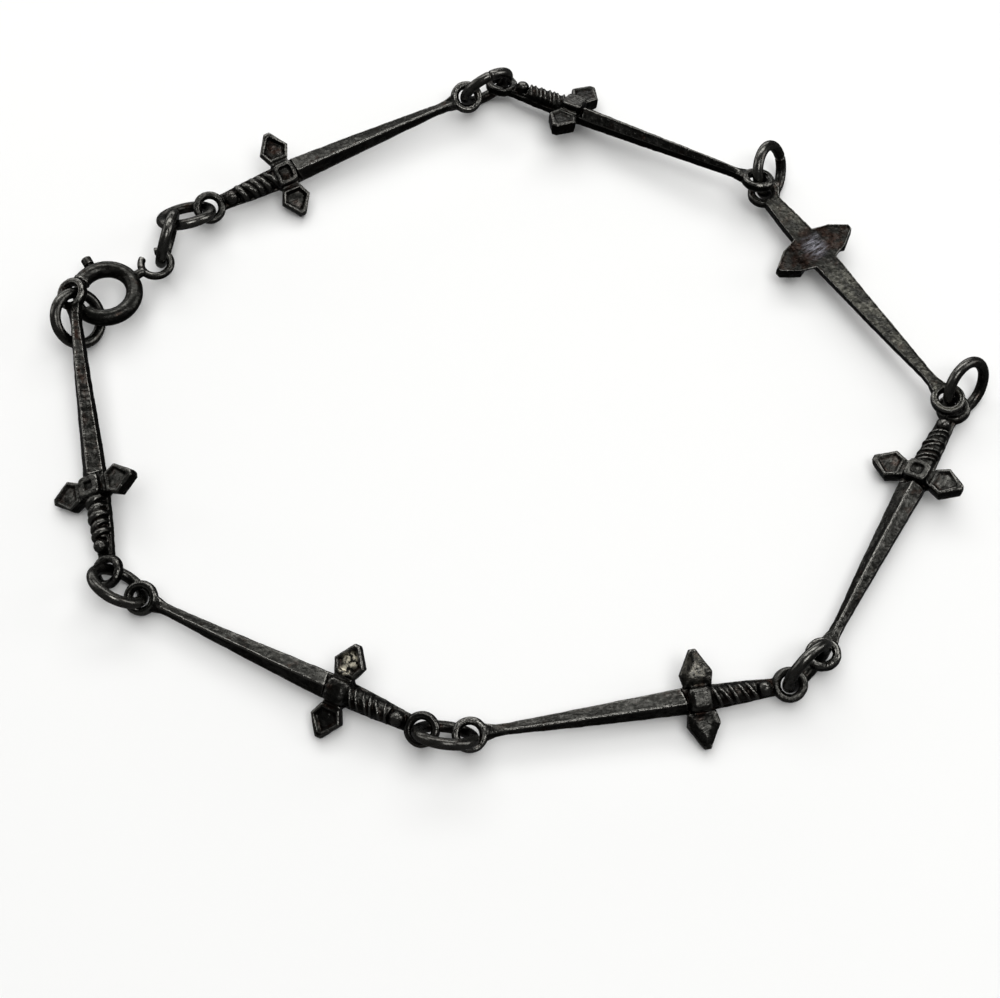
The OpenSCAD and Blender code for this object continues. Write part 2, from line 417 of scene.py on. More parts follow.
# Two corners of the shank between the pommel eye and the grip
SHANK = ((0.95, -0.5, 0), (GRIP_START + 0.1, 0.5, 0.56))
# The boss: place, radius and top, and the angles that its dome is drawn at
BOSS_X, BOSS_RADIUS, BOSS_TOP = 1.8, 0.52, 1.34
BOSS_DOME = (0, 22, 42, 60, 75, 86)
# The grip: height of its axis, and along it half the width with the wire on and of its flat back
GRIP_AXIS = 0.52
GRIP_CORE = ((GRIP_START, 0.74), (GRIP_END + 0.3, 0.86))
BACK_BAR = ((1.0, 0.6), (GRIP_START + 0.1, 0.7), (3.2, 0.76), (GRIP_END + 0.3, 0.88))
BACK_BAR_TOP, BACK_BAR_WEB = 0.42, 0.35
# The wire: radius of its turns, how they widen along the grip, its depth, slant and unevenness
WRAP_RADIUS, WRAP_WIDENING, WRAP_DEPTH = 0.57, 0.04, 0.21
WRAP_SLANT, SLANT_SPREAD, WRAP_SWAY, RADIUS_SWAY = 28, 7, 0.05, 0.02
# The block: half its length and width, and how square its corners are
BLOCK_HALF = (0.8, 0.85)
BLOCK_SQUARENESS = 5
# A guard end: where its kite starts, how long its point is, and half the width of its neck
Kite = namedtuple("Kite", "start taper neck")
FRAMED_KITE, PROUD_KITE = Kite(1.1, 1.35, 0.725), Kite(0.85, 1.65, 0.95)
POINT_HALF, POINT_LEAST = 0.22, 0.02
# Bars under a guard end: half the width, from and to across the guard, and share of the height
Bar = namedtuple("Bar", "half near far rise")
NECK_BARS = (Bar(0.62, 0.5, 1.5, 0.82), Bar(0.66, 0.9, 1.06, 0.98))
# The web: how far it spreads, and its levels as height and share of its outline
WEB_SPREAD, WEB_REACH = 0.42, 2.4
WEB_LEVELS = ((0, 1), (0.22, 1), (0.38, 0.92))
# The gable where the blade starts: how far its ridge leans to the guard, over what, and its end
GABLE_LEAN, GABLE_RUN, GABLE_END = 0.3, 0.95, GUARD_X + 2


def eye_part(bm, sizes, x):
    """Flat eye with a soft outer edge and a bevelled hole."""
    inner, outer, thick = sizes.eye_hole / 2, sizes.eye_outside / 2, sizes.eye_thickness
    profile = [
        (inner + EYE_BEVEL, 0), (outer - EYE_FOOT_ROUND, 0), (outer, EYE_ROUND),
        (outer, thick - EYE_ROUND), (outer - EYE_ROUND, thick),
        (inner + EYE_BEVEL, thick), (inner, thick - EYE_BEVEL), (inner, EYE_BEVEL),
    ]
    lathe(bm, profile, steps=72, place=Matrix.Translation((x, 0, 0)))


def grip_part(bm, sizes, cast):
    """Shank with its round boss, and grip with slanting turns of wire over a plain back."""
    brick(bm, *SHANK)
    levels = [(BOSS_RADIUS, 0)]
    for a in np.radians(BOSS_DOME):
        levels.append((BOSS_RADIUS * math.cos(a), BOSS_TOP - BOSS_RADIUS * (1 - math.sin(a))))
    loft(bm, [[(BOSS_X + x, y, z) for x, y in circle(r)] for r, z in levels])
    core = [(x, r - cast.cord) for x, r in GRIP_CORE]
    loft(bm, [[(x, y, z + GRIP_AXIS) for y, z in circle(r)] for x, r in core])
    top = BACK_BAR_TOP + BACK_BAR_WEB * cast.web
    loft(bm, [[(x, y, z) for y, z in ((-r, 0), (r, 0), (r, top), (-r, top))] for x, r in BACK_BAR])
    wraps = sizes.wraps + cast.wraps
    pitch = (GRIP_END - GRIP_START) / wraps
    for i in range(wraps):
        sway = math.sin(cast.seed + 2.3 * i)
        slant = WRAP_SLANT + SLANT_SPREAD * math.sin(cast.seed + 3.7 * i)
        x = pitch * (i + 0.5) + WRAP_SWAY * sway
        radius = WRAP_RADIUS + WRAP_WIDENING * x + RADIUS_SWAY * sway
        cord = [(radius + WRAP_DEPTH * u, cast.cord * v) for u, v in circle(1, steps=14)]
        lathe(bm, cord, steps=48, place=turned((GRIP_START + x, 0, GRIP_AXIS), slant, 90, 0))


def block_outline(z, inset):
    """Rounded square of the guard's middle block at one height, drawn in by an inset."""
    half_x, half_y = (half - inset for half in BLOCK_HALF)
    outline = []
    for c, s in circle(1, steps=32):
        reach = (abs(c) ** BLOCK_SQUARENESS + abs(s) ** BLOCK_SQUARENESS) ** (-1 / BLOCK_SQUARENESS)
        outline.append((GUARD_X + half_x * reach * c, half_y * reach * s, z))
    return outline


def block_part(bm, sizes, cast):
    """Raised block, from levels of height and inset: a border round a middle that is sunk or domed."""
    h, sink, border = sizes.block_height, cast.recess, cast.border
    top = [(h - 0.18, 0), (h - 0.06, 0.03), (h, 0.1), (h, border), (h - sink * 0.8, border + 0.07)]
    if sink < 0:
        top = [(h - 0.26, 0), (h - 0.1, 0.07), (h, border), (h - sink * 0.6, border + 0.15)]
    levels = [(0, 0.02), *top, (h - sink, border + 0.18)]
    loft(bm, [block_outline(z, inset) for z, inset in levels])


def kite_outline(sizes, z, inset, side, kite):
    """Kite of a guard end at one height, drawn in by an inset, on one side of the guard."""
    tip = sizes.guard_length / 2
    corners = [
        (kite.neck - inset * 0.6, kite.start + inset),
        (sizes.kite_width / 2 - inset, tip - kite.taper),
        (max(POINT_HALF - inset * 0.45, POINT_LEAST), tip - inset * FRAMED_KITE.taper),
    ]
    corners += [(-u, v) for u, v in reversed(corners)]
    return [(GUARD_X + side * u, side * v, z) for u, v in corners]


def guard_end_part(bm, sizes, cast, side):
    """Guard end on its neck, from levels of height and inset: a rim round a dish, or a peak."""
    h, sink = sizes.kite_height, cast.dish
    for bar in NECK_BARS:
        low, high = sorted((side * bar.near, side * bar.far))
        brick(bm, (GUARD_X - bar.half, low, 0), (GUARD_X + bar.half, high, h * bar.rise))
    kite = PROUD_KITE if sink < 0 else FRAMED_KITE
    rim = [(h - 0.03, 0.06), (h, 0.14), (h, 0.27)]
    top = [*rim, (h - sink * 0.85, 0.38), (h - sink, 0.5), (h - sink + 0.02, 0.62)]
    if sink < 0:
        top = [(h - 0.06, 0.08), (h - sink * 0.5, 0.34), (h - sink, 0.62)]
    levels = [(0, 0.06), (h * 0.4, 0), (h - 0.14, 0), *top]
    loft(bm, [kite_outline(sizes, z, inset, side, kite) for z, inset in levels])


def web_part(bm, cast):
    """Low web that fills the corners between grip, guard and blade."""
    wide = WEB_SPREAD * cast.web
    across = 1.0 + WEB_REACH * wide
    corners = [(-1.1 - wide, 0.55), (-0.68 - wide, across), (0.68 + wide, across), (1.1 + wide, 0.8)]
    corners += [(x, -y) for x, y in reversed(corners)]
    loft(bm, [[(GUARD_X + x * k, y * k, z) for x, y in corners] for z, k in WEB_LEVELS])


def blade_part(bm, sizes, cast):
    """Blade from sections of place, width, flank and ridge: a gable, two flanks and a flared end."""
    w, ridge, end = sizes.blade_width * cast.blade, sizes.ridge_height, sizes.link_length
    sections = [
        (GUARD_X + 0.6, w * 0.97, 0.6, 0.64),
        (GUARD_X + 0.95, w, 0.6, 0.72),
        (GUARD_X + 1.2, w, 0.6, ridge),
        (GABLE_END, w * 0.97, 0.56, ridge),
        (end - 6, w * 0.61, 0.52, ridge * 0.83),
        (end - 2.6, 0.78, 0.5, 0.86),
        (end - 1.8, 0.84, 0.52, 0.78),
        (end - 1.3, 1.08, 0.56, 0.7),
        (end - 0.9, 1.25, 0.58, 0.66),
    ]
    outlines = []
    for x, b, flank, top in sections:
        side = [(b / 2 - 0.03, 0), (b / 2, 0.1), (b / 2, flank)]
        middle = cast.ridge * b / w
        lean = GABLE_LEAN * max(0, GABLE_END - x) / GABLE_RUN
        whole = [(x, y, z) for y, z in (*side, *((-y, z) for y, z in reversed(side)))]
        whole[3:3] = [(x - lean, middle + 0.05, top), (x - lean, middle - 0.05, top)]
        outlines.append(whole)
    loft(bm, outlines)


def sword_mesh(sizes, cast):
    """One sword link as it was cast."""
    bm = bmesh.new()
    eye_part(bm, sizes, 0)
    eye_part(bm, sizes, sizes.link_length)
    grip_part(bm, sizes, cast)
    web_part(bm, cast)
    block_part(bm, sizes, cast)
    for side in (1, -1):
        guard_end_part(bm, sizes, cast, side)
    blade_part(bm, sizes, cast)
    skin = fused(bm, sizes.skin, rounds=4)
    co = rows_of(skin)
    co[:, 2] = np.maximum(co[:, 2], 0)
    move_to(skin, co)
    on_blade = ramp(co[:, 0], GUARD_X + 0.9, GUARD_X + 1.2)
    mark_relief(skin, crisp=0.6 + 0.4 * on_blade)
    mesh = roughened(skin, cast.seed, wobble=0.06, grain=cast.grain)
    shape_by_hand(mesh, sizes, cast)
    return mesh


def shape_by_hand(mesh, sizes, cast):
    """Clears both eye holes, dishes the flat back behind a thin lip, and bows the blade."""
    co, normal = rows_of(mesh), rows_of(mesh, "normal")
    lip = ramp(relief(mesh, BROAD_ROUNDS), low=0.02, high=0.06)
    near_floor = ramp(0.3 - co[:, 2], low=0, high=0.15)
    flat_back = ramp(-normal[:, 2], low=0.6, high=0.95) * near_floor
    depth = 0.05 + 0.08 * ramp(np.abs(co[:, 1]), low=1.2, high=1.8)
    co[:, 2] = np.maximum(co[:, 2], 0) + depth * flat_back * (1 - lip)
    for x in (0, sizes.link_length):
        out = co[:, :2] - (x, 0)
        reach = np.hypot(*out.T)
        bevel = EYE_BEVEL - np.minimum(co[:, 2], sizes.eye_thickness - co[:, 2])
        need = sizes.eye_hole / 2 + np.clip(bevel, 0, 0.2)
        inside = (reach < need) & (reach > 0.2)
        co[inside, :2] += out[inside] * ((need - reach) / reach)[inside, None]
    along = ramp(co[:, 0], low=2, high=12) * ramp(sizes.link_length - co[:, 0], low=2, high=8)
    co[:, 1] += cast.bow * along
    move_to(mesh, co)


def mark_relief(skin, crisp=0.8):
    """Stores where a smooth skin has raised edges, weighing the finest ones by crisp, and hollows."""
    fine, broad = relief(skin, FINE_ROUNDS), relief(skin, BROAD_ROUNDS)
    level = np.abs(rows_of(skin, "normal")[:, 2])
    fine_edge = crisp * ramp(fine, low=0.003, high=0.016)
    broad_edge = 0.85 * ramp(broad, low=0.02, high=0.08)
    edge = np.maximum(fine_edge, broad_edge) * (0.35 + 0.65 * ramp(level, low=0.1, high=0.6))
    hollow = np.maximum(ramp(-fine, low=0.004, high=0.02), ramp(-broad, low=0.015, high=0.06))
    store(skin, edge=edge, hollow=hollow)


def mark_wear(mesh, seed, spots=(), filed=0.0, tone=1.0):
    """Stores where a piece is steep, worn, bare, aged or filed, and coordinates for the finishes."""
    co, up = rows_of(mesh), rows_of(mesh, "normal")[:, 2]
    face, back = ramp(up, low=0.2, high=0.6), ramp(-up, low=0.5, high=0.9)
    back_rim = ramp(relief(mesh, BROAD_ROUNDS), low=0.02, high=0.055)
    worn = 0.9 * back_rim * ramp(-up, low=0.1, high=0.6)
    # The back darkens with age round the guard
    before_guard = 0.35 + 0.65 * ramp(co[:, 0], low=3.6, high=5.2)
    past_guard = ramp(co[:, 0], low=6.6, high=10)
    bare, aged = np.zeros(len(co)), back * (before_guard * (1 - past_guard))
    for spot in spots:
        away = np.hypot(co[:, 0] - spot.x, co[:, 1] - spot.y)
        near = face * (1 - ramp(away, low=spot.radius * 0.4, high=spot.radius))
        worn = np.maximum(worn, spot.worn * near)
        bare = np.maximum(bare, spot.bare * near)
        aged = np.maximum(aged, spot.aged * near)
    worn = worn * (1 - 0.9 * aged * face)
    # A file has flattened the back behind the block
    from_block = np.hypot((co[:, 0] - GUARD_X) * 0.9, co[:, 1])
    filed = filed * (1 - ramp(from_block, low=0.45, high=1.1)) * back
    # Steep sides, which the finish darkens as painted shade
    wall = 1 - ramp(np.abs(up), low=0.2, high=0.6)
    rest = co + [seed * step for step in FINISH_STEP]
    store(mesh, rest=rest, wall=wall, worn=worn, bare=bare, back=back, aged=aged, filed=filed, tone=tone)


class BRACELET_OT_sword_links(bpy.types.Operator):
    """Cast the seven sword links and lay each where it belongs"""

    bl_idname = "bracelet.sword_links"
    bl_label = "Sword Links"

    def execute(self, context):
        sizes = in_millimetres(context.scene.bracelet_sword)
        finish = cast_silver(context.scene.bracelet_finish)
        for name, lie in SWORD_LIES.items():
            cast = SWORD_CASTS[name]
            mesh = sword_mesh(sizes, cast)
            filed = 1.0 if name == FILED_SWORD else 0.0
            mark_wear(mesh, cast.seed, SPOTS.get(name, ()), filed, cast.tone)
            mesh = thinned(mesh, SWORD_SHARE)
            pitch = math.degrees(math.asin(lie.rise / sizes.link_length))
            place = turned(lie[:3], lie.heading, -pitch, lie.roll)
            set_in_place(mesh, "cast_" + name, place, finish, "chain", name)
        return {"FINISHED"}


# Jump rings and clasp

# Sections along a jump ring's wire, and sides of each
RING_STEPS, WIRE_SIDES = 145, 28


def ring_mesh(sizes, seed):
    """Jump ring of round wire, lying nearly flat, with its slit at +X."""
    wire = sizes.ring_wire / 2
    middle = sizes.ring_outside / 2 - wire
    half_slit = sizes.ring_slit / 2 / middle
    turns = np.linspace(half_slit, 2 * math.pi - half_slit, RING_STEPS)
    # The cut ends are a little thinner, and the wire waves a little out of its plane
    thick = np.full(len(turns), wire)
    thick[[0, -1]] *= 0.9
    wave = 0.012 * np.sin(turns * 3 + seed) + 0.008 * np.sin(turns * 7 + seed * 2)
    section = circle(1, WIRE_SIDES)
    outlines = []
    for a, t, w in zip(turns, thick, wave):
        c, s = math.cos(a), math.sin(a)
        outlines.append([
            ((middle + t * u) * c, (middle + t * u) * s, t * v + w * wire) for u, v in section
        ])
    bm = bmesh.new()
    loft(bm, outlines)
    bmesh.ops.recalc_face_normals(bm, faces=bm.faces)
    mesh = bpy.data.meshes.new("ring")
    bm.to_mesh(mesh)
    bm.free()
    along = np.repeat(turns, WIRE_SIDES)
    u, v = np.tile(np.array(section), (RING_STEPS, 1)).T
    near_slit = 1 - ramp(np.minimum(along, 2 * math.pi - along), low=0.03, high=0.12)
    store(
        mesh, rest=np.stack([along * middle + seed * 7, u * wire, v * wire], 1),
        edge=0.3 + 0.25 * ramp(u, low=0.3, high=1) + 0.3 * near_slit,
        hollow=0.3 * ramp(-u, low=0.3, high=1),
        wall=0.0, worn=0.35, bare=0.0, back=0.0, aged=0.0, filed=0.0, tone=1.0,
    )
    return mesh


class BRACELET_OT_jump_rings(bpy.types.Operator):
    """Bend the nine jump rings and hang each in its eyes"""

    bl_idname = "bracelet.jump_rings"
    bl_label = "Jump Rings"

    def execute(self, context):
        sizes = in_millimetres(context.scene.bracelet_wire)
        finish = ring_silver(context.scene.bracelet_finish)
        for seed, (name, hang) in enumerate(RING_HANGS.items()):
            place = turned(hang[:3], hang.way, hang.lean, 0) @ turned((0, 0, 0), hang.slit, 0, 0)
            mesh = ring_mesh(sizes, seed)
            set_in_place(mesh, "wire_" + name, place, finish, "chain", name)
        return {"FINISHED"}


def reskinned(node, cell, grain, seed, wear_seed):
    """Copy of a plain solid in millimetres, with an even skin, softened edges and its wear."""
    bm = bmesh.new()
    bm.from_mesh(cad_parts[node].data)
    bmesh.ops.remove_doubles(bm, verts=bm.verts, dist=1e-7)
    bmesh.ops.scale(bm, vec=(1 / MM,) * 3, verts=bm.verts)
    skin = fused(bm, cell, rounds=2)
    mark_relief(skin)
    mesh = roughened(skin, seed, wobble=0.0, grain=grain)
    mark_wear(mesh, wear_seed)
    return thinned(mesh, CLASP_SHARE)


class BRACELET_OT_clasp_body(bpy.types.Operator):
    """Form the clasp's tube, collar and soldered eye"""

    bl_idname = "bracelet.clasp_body"
    bl_label = "Clasp Body"

    def execute(self, context):
        sizes = in_millimetres(context.scene.bracelet_wire)
        mesh = reskinned("clasp_body", sizes.clasp_skin, grain=0.012, seed=5, wear_seed=97)
        finish = clasp_silver(context.scene.bracelet_finish)
        set_in_place(mesh, "tube_clasp_body", Matrix(), finish, "chain", "clasp_body")
        return {"FINISHED"}


class BRACELET_OT_clasp_bolt(bpy.types.Operator):
    """Form the clasp's sliding bolt with its thumb knob"""

    bl_idname = "bracelet.clasp_bolt"
    bl_label = "Clasp Bolt"

    def execute(self, context):
        sizes = in_millimetres(context.scene.bracelet_wire)
        mesh = reskinned("clasp_bolt", sizes.bolt_skin, grain=0.0, seed=6, wear_seed=83)
        finish = clasp_silver(context.scene.bracelet_finish)
        set_in_place(mesh, "wire_clasp_bolt", Matrix(), finish, "bolt", "clasp_bolt")
        return {"FINISHED"}


# Finishes


class Graph:
    """Short hand for laying out the nodes of a material or a node group."""

    def __init__(self, tree):
        self.nodes, self.links = tree.nodes, tree.links

    def add(self, kind, **settings):
        """New node with its own settings."""
        made = self.nodes.new(kind)
        for key, value in settings.items():
            setattr(made, key, value)
        return made

    def feed(self, slot, value):
        """Links a socket, or sets a plain number or colour."""
        if isinstance(value, bpy.types.NodeSocket):
            self.links.new(value, slot)
        elif value is not None:
            slot.default_value = value

    def math(self, operation, *values, clamp=False):
        """Result of a Math node."""
        made = self.add("ShaderNodeMath", operation=operation, use_clamp=clamp)
        for slot, value in zip(made.inputs, values):
            self.feed(slot, value)
        return made.outputs[0]

    def noise(self, position, scale, detail=4.0, roughness=0.55):
        """Soft cloud between 0 and 1."""
        made = self.add("ShaderNodeTexNoise")
        inputs = {"Vector": position, "Scale": scale, "Detail": detail, "Roughness": roughness}
        for name, value in inputs.items():
            self.feed(made.inputs[name], value)
        return made.outputs["Fac"]

    def between(self, value, low, high):
        """0 at low and 1 at high, with soft ends."""
        made = self.add("ShaderNodeMapRange", interpolation_type="SMOOTHSTEP")
        for name, fed in {"Value": value, "From Min": low, "From Max": high}.items():
            self.feed(made.inputs[name], fed)
        return made.outputs["Result"]

    def mix(self, factor, a, b):
        """Colour from a to b."""
        made = self.add("ShaderNodeMix", data_type="RGBA")
        for index, value in ((0, factor), (6, a), (7, b)):
            self.feed(made.inputs[index], value)
        return made.outputs[2]

    def stretched(self, position, scale):
        """Position with each axis multiplied by its own scale."""
        made = self.add("ShaderNodeVectorMath", operation="MULTIPLY")
        self.feed(made.inputs[0], position)
        self.feed(made.inputs[1], scale)
        return made.outputs[0]

    def scaled(self, shade, amount):
        """Colour made darker or lighter."""
        made = self.add("ShaderNodeVectorMath", operation="SCALE")
        self.feed(made.inputs[0], shade)
        self.feed(made.inputs["Scale"], amount)
        return made.outputs[0]

    def stored(self, name, vector=False):
        """Value that a mesh keeps under a name."""
        made = self.add("ShaderNodeAttribute", attribute_name=name)
        return made.outputs["Vector" if vector else "Fac"]

    def placed(self, group, **values):
        """Node group with its inputs fed by name, spaces written as underlines."""
        made = self.add("ShaderNodeGroup", node_tree=group)
        for name, value in values.items():
            self.feed(made.inputs[name.replace("_", " ")], value)
        return made.outputs


def effect(name, inputs, outputs, lay_out):
    """Shader node group with named inputs and outputs, built once."""
    if name in bpy.data.node_groups:
        return bpy.data.node_groups[name]
    group = bpy.data.node_groups.new(name, "ShaderNodeTree")
    for label, default in inputs.items():
        kind = {float: "NodeSocketFloat", tuple: "NodeSocketColor"}.get(type(default), "NodeSocketVector")
        made = group.interface.new_socket(name=label, in_out="INPUT", socket_type=kind)
        if default is not None:
            made.default_value = default
    for label, kind in outputs.items():
        group.interface.new_socket(name=label, in_out="OUTPUT", socket_type=kind)
    graph = Graph(group)
    start, end = graph.add("NodeGroupInput"), graph.add("NodeGroupOutput")
    for label, value in lay_out(graph, start.outputs).items():
        graph.feed(end.inputs[label], value)
    return group


def rubbed_edges():
    """Where raised edges are rubbed bright, broken up by a fine cloud."""

    def lay_out(graph, given):
        cloud = graph.noise(given["Position"], given["Scale"], detail=5.0, roughness=0.65)
        spread = graph.math("MULTIPLY", graph.math("SUBTRACT", cloud, 0.5), given["Break Up"])
        raised = graph.math("MULTIPLY_ADD", given["Hollow"], -0.7, given["Edge"])
        start = graph.math("SUBTRACT", 1.0, given["Reach"])
        mask = graph.between(graph.math("ADD", raised, spread), start, graph.math("ADD", start, 0.5))
        return {"Mask": mask}

    inputs = {"Position": None, "Edge": 0.0, "Hollow": 0.0, "Scale": 3.0, "Reach": 0.5, "Break Up": 0.6}
    return effect("Rubbed Edges", inputs, {"Mask": "NodeSocketFloat"}, lay_out)


def tarnish():
    """Black silver browning in blotches, green brown on the back and dark in hollows; steep sides get
    painted shade.
    """

    def lay_out(graph, given):
        where = given["Position"]
        old = graph.math("MAXIMUM", given["Hollow"], given["Aged"])
        blotch = graph.math("MULTIPLY_ADD", old, 0.18, graph.noise(where, 1.1, detail=4.0))
        shade = graph.mix(graph.between(blotch, 0.56, 0.76), given["Black"], given["Brown"])
        patch = graph.noise(graph.stretched(where, (0.7, 1.1, 1.0)), 0.95, detail=5.0, roughness=0.6)
        pale = graph.math("SUBTRACT", given["Back"], given["Aged"], clamp=True)
        mould = graph.math("MULTIPLY", graph.between(patch, 0.42, 0.58), pale)
        shade = graph.mix(mould, shade, given["Green"])
        speck = graph.between(graph.noise(where, 3.6, detail=5.0, roughness=0.62), 0.34, 0.68)
        plain = graph.math("SUBTRACT", 1.0, given["Contrast"])
        depth = graph.math("MULTIPLY_ADD", speck, given["Contrast"], plain)
        # Aged places and hollows darken with patina; steep sides are darkened as painted shade
        for label, loss in (("Aged", -0.55), ("Wall", -0.5), ("Hollow", -0.65)):
            kept = graph.math("MULTIPLY_ADD", given[label], loss, 1.0)
            depth = graph.math("MULTIPLY", depth, kept)
        return {"Color": graph.scaled(shade, depth), "Speck": speck}

    inputs = {
        "Position": None, "Hollow": 0.0, "Wall": 0.0, "Back": 0.0, "Aged": 0.0, "Contrast": 0.6,
        "Black": (0.03, 0.03, 0.03, 1.0), "Brown": (0.05, 0.03, 0.02, 1.0),
        "Green": (0.05, 0.05, 0.03, 1.0),
    }
    return effect("Tarnish And Painted Shade", inputs, {"Color": "NodeSocketColor", "Speck": "NodeSocketFloat"}, lay_out)


def handling():
    """Soft flecks where handling has thinned the black."""

    def lay_out(graph, given):
        where = given["Position"]
        clouds = graph.noise(where, 0.8, detail=3.0, roughness=0.5)
        flecks = graph.noise(graph.stretched(where, (0.55, 1.2, 1.2)), 3.0, detail=5.0, roughness=0.6)
        thin = graph.between(graph.math("MULTIPLY_ADD", clouds, 0.5, flecks), 0.7, 0.95)
        return {"Mask": graph.math("MULTIPLY", thin, given["Amount"])}

    return effect("Handling", {"Position": None, "Amount": 0.5}, {"Mask": "NodeSocketFloat"}, lay_out)


def bare_patches():
    """Spots rubbed to bare metal, and strokes left by a file."""

    def lay_out(graph, given):
        where = given["Position"]
        spots = graph.between(graph.noise(where, 3.4, detail=4.0, roughness=0.65), 0.42, 0.56)
        strokes = graph.noise(graph.stretched(where, (7.0, 1.2, 3.0)), 1.0, detail=5.0, roughness=0.6)
        strokes = graph.between(strokes, 0.36, 0.6)
        return {
            "Spots": graph.math("MULTIPLY", given["Bare"], spots),
            "Strokes": graph.math("MULTIPLY", given["Filed"], strokes),
        }

    outputs = {"Spots": "NodeSocketFloat", "Strokes": "NodeSocketFloat"}
    return effect("Bare Patches", {"Position": None, "Bare": 0.0, "Filed": 0.0}, outputs, lay_out)


def cast_skin():
    """Height of a cast skin: soft lumps, a fine grain and scattered pits."""

    def lay_out(graph, given):
        where = given["Position"]
        cells = graph.add("ShaderNodeTexVoronoi")
        graph.feed(cells.inputs["Vector"], where)
        graph.feed(cells.inputs["Scale"], graph.math("MULTIPLY", given["Scale"], 1.7))
        pit = graph.math("SUBTRACT", 1.0, graph.between(cells.outputs["Distance"], 0.05, 0.42))
        pitted = graph.between(graph.noise(where, 1.9, detail=2.0), 0.45, 0.6)
        pit = graph.math("MULTIPLY", graph.math("MULTIPLY", pit, pitted), given["Pits"])
        lumps = graph.noise(where, given["Scale"], detail=2.0, roughness=0.5)
        fine_scale = graph.math("MULTIPLY", given["Scale"], 4.0)
        fine = graph.noise(where, fine_scale, detail=3.0, roughness=0.6)
        height = graph.math("MULTIPLY_ADD", fine, 0.22, lumps)
        return {"Height": graph.math("SUBTRACT", height, pit), "Pits": pit}

    outputs = {"Height": "NodeSocketFloat", "Pits": "NodeSocketFloat"}
    return effect("Cast Skin", {"Position": None, "Scale": 3.0, "Pits": 0.4}, outputs, lay_out)


# How a finish is worn: reach and raggedness of its rubbed edges, contrast of its specks, strength
# of handling, size, pits and depth of its skin, and roughness where it is black and where rubbed
Polish = namedtuple("Polish", "reach break_up contrast streaks skin_scale pits skin_depth dull shiny")
CAST_POLISH = Polish(0.72, 0.45, 0.55, 0.28, 2.6, 0.4, 0.045, 0.36, 0.28)
RING_POLISH = Polish(0.78, 0.6, 0.5, 0.4, 2.2, 0.15, 0.02, 0.34, 0.28)
CLASP_POLISH = Polish(0.72, 0.55, 0.5, 0.4, 2.4, 0.2, 0.02, 0.38, 0.3)
# Masks that the meshes keep, in the order in which a material takes them
STORED_MASKS = ("edge", "hollow", "wall", "worn", "bare", "back", "aged", "filed", "tone")


def blackened_silver(name, colours, polish):
    """Blackened silver: tarnish, painted shade on steep sides, rubbed edges, handling, bare places and a
    cast skin.
    """
    if name in bpy.data.materials:
        return bpy.data.materials[name]
    made = bpy.data.materials.new(name)
    made.use_nodes = True
    graph, shader = Graph(made.node_tree), made.node_tree.nodes["Principled BSDF"]
    where = graph.stored("rest", vector=True)
    edge, hollow, wall, rubbed, bare, back, aged, filed, tone = (graph.stored(n) for n in STORED_MASKS)
    dark = graph.placed(
        tarnish(), Position=where, Hollow=hollow, Wall=wall, Back=back, Aged=aged, Contrast=polish.contrast,
        Black=colours.black[:], Brown=colours.brown[:], Green=colours.green[:],
    )
    worn = graph.placed(
        rubbed_edges(), Position=where, Edge=graph.math("MAXIMUM", edge, rubbed), Hollow=hollow,
        Reach=polish.reach, Break_Up=polish.break_up,
    )["Mask"]
    thin = graph.placed(handling(), Position=where, Amount=polish.streaks)["Mask"]
    patches = graph.placed(bare_patches(), Position=where, Bare=bare, Filed=filed)
    skin = graph.placed(cast_skin(), Position=where, Scale=polish.skin_scale, Pits=polish.pits)
    handled = graph.math("MULTIPLY_ADD", back, -0.7, 1.0)
    handled = graph.math("MULTIPLY_ADD", wall, -0.8, handled, clamp=True)
    worn = graph.math("MAXIMUM", worn, graph.math("MULTIPLY", thin, handled))
    shade = graph.scaled(graph.mix(worn, dark["Color"], colours.worn[:]), tone)
    shade = graph.mix(patches["Spots"], shade, colours.bare[:])
    shade = graph.mix(patches["Strokes"], shade, colours.filed[:])
    graph.feed(shader.inputs["Base Color"], shade)
    graph.feed(shader.inputs["Metallic"], graph.math("MULTIPLY_ADD", patches["Spots"], -0.6, 1.0))
    rough = graph.math("MULTIPLY_ADD", dark["Speck"], -0.12, polish.dull)
    rough = graph.math("MULTIPLY_ADD", worn, polish.shiny - polish.dull, rough)
    rough = graph.math("MULTIPLY_ADD", skin["Pits"], 0.2, rough, clamp=True)
    graph.feed(shader.inputs["Roughness"], rough)
    bump = graph.add("ShaderNodeBump")
    bump.inputs["Distance"].default_value = polish.skin_depth * MM
    height = graph.math("MULTIPLY_ADD", patches["Strokes"], -0.5, skin["Height"])
    graph.feed(bump.inputs["Height"], height)
    graph.feed(shader.inputs["Normal"], bump.outputs["Normal"])
    return made


def cast_silver(colours):
    """Sand cast links, rubbed along every raised edge."""
    return blackened_silver("Cast Blackened Silver", colours, CAST_POLISH)


def ring_silver(colours):
    """Drawn wire of the jump rings, smooth and evenly rubbed."""
    return blackened_silver("Blackened Ring Wire", colours, RING_POLISH)


def clasp_silver(colours):
    """Rolled tube and wire of the clasp, smoother than the castings."""
    return blackened_silver("Blackened Clasp Silver", colours, CLASP_POLISH)


# Stage

# Half the floor's width and how far it lies below the bracelet, in metres
FLOOR_HALF, FLOOR_DROP = 1.5, 0.00002
# Strength of the light from all round
WORLD_LIGHT = 0.06
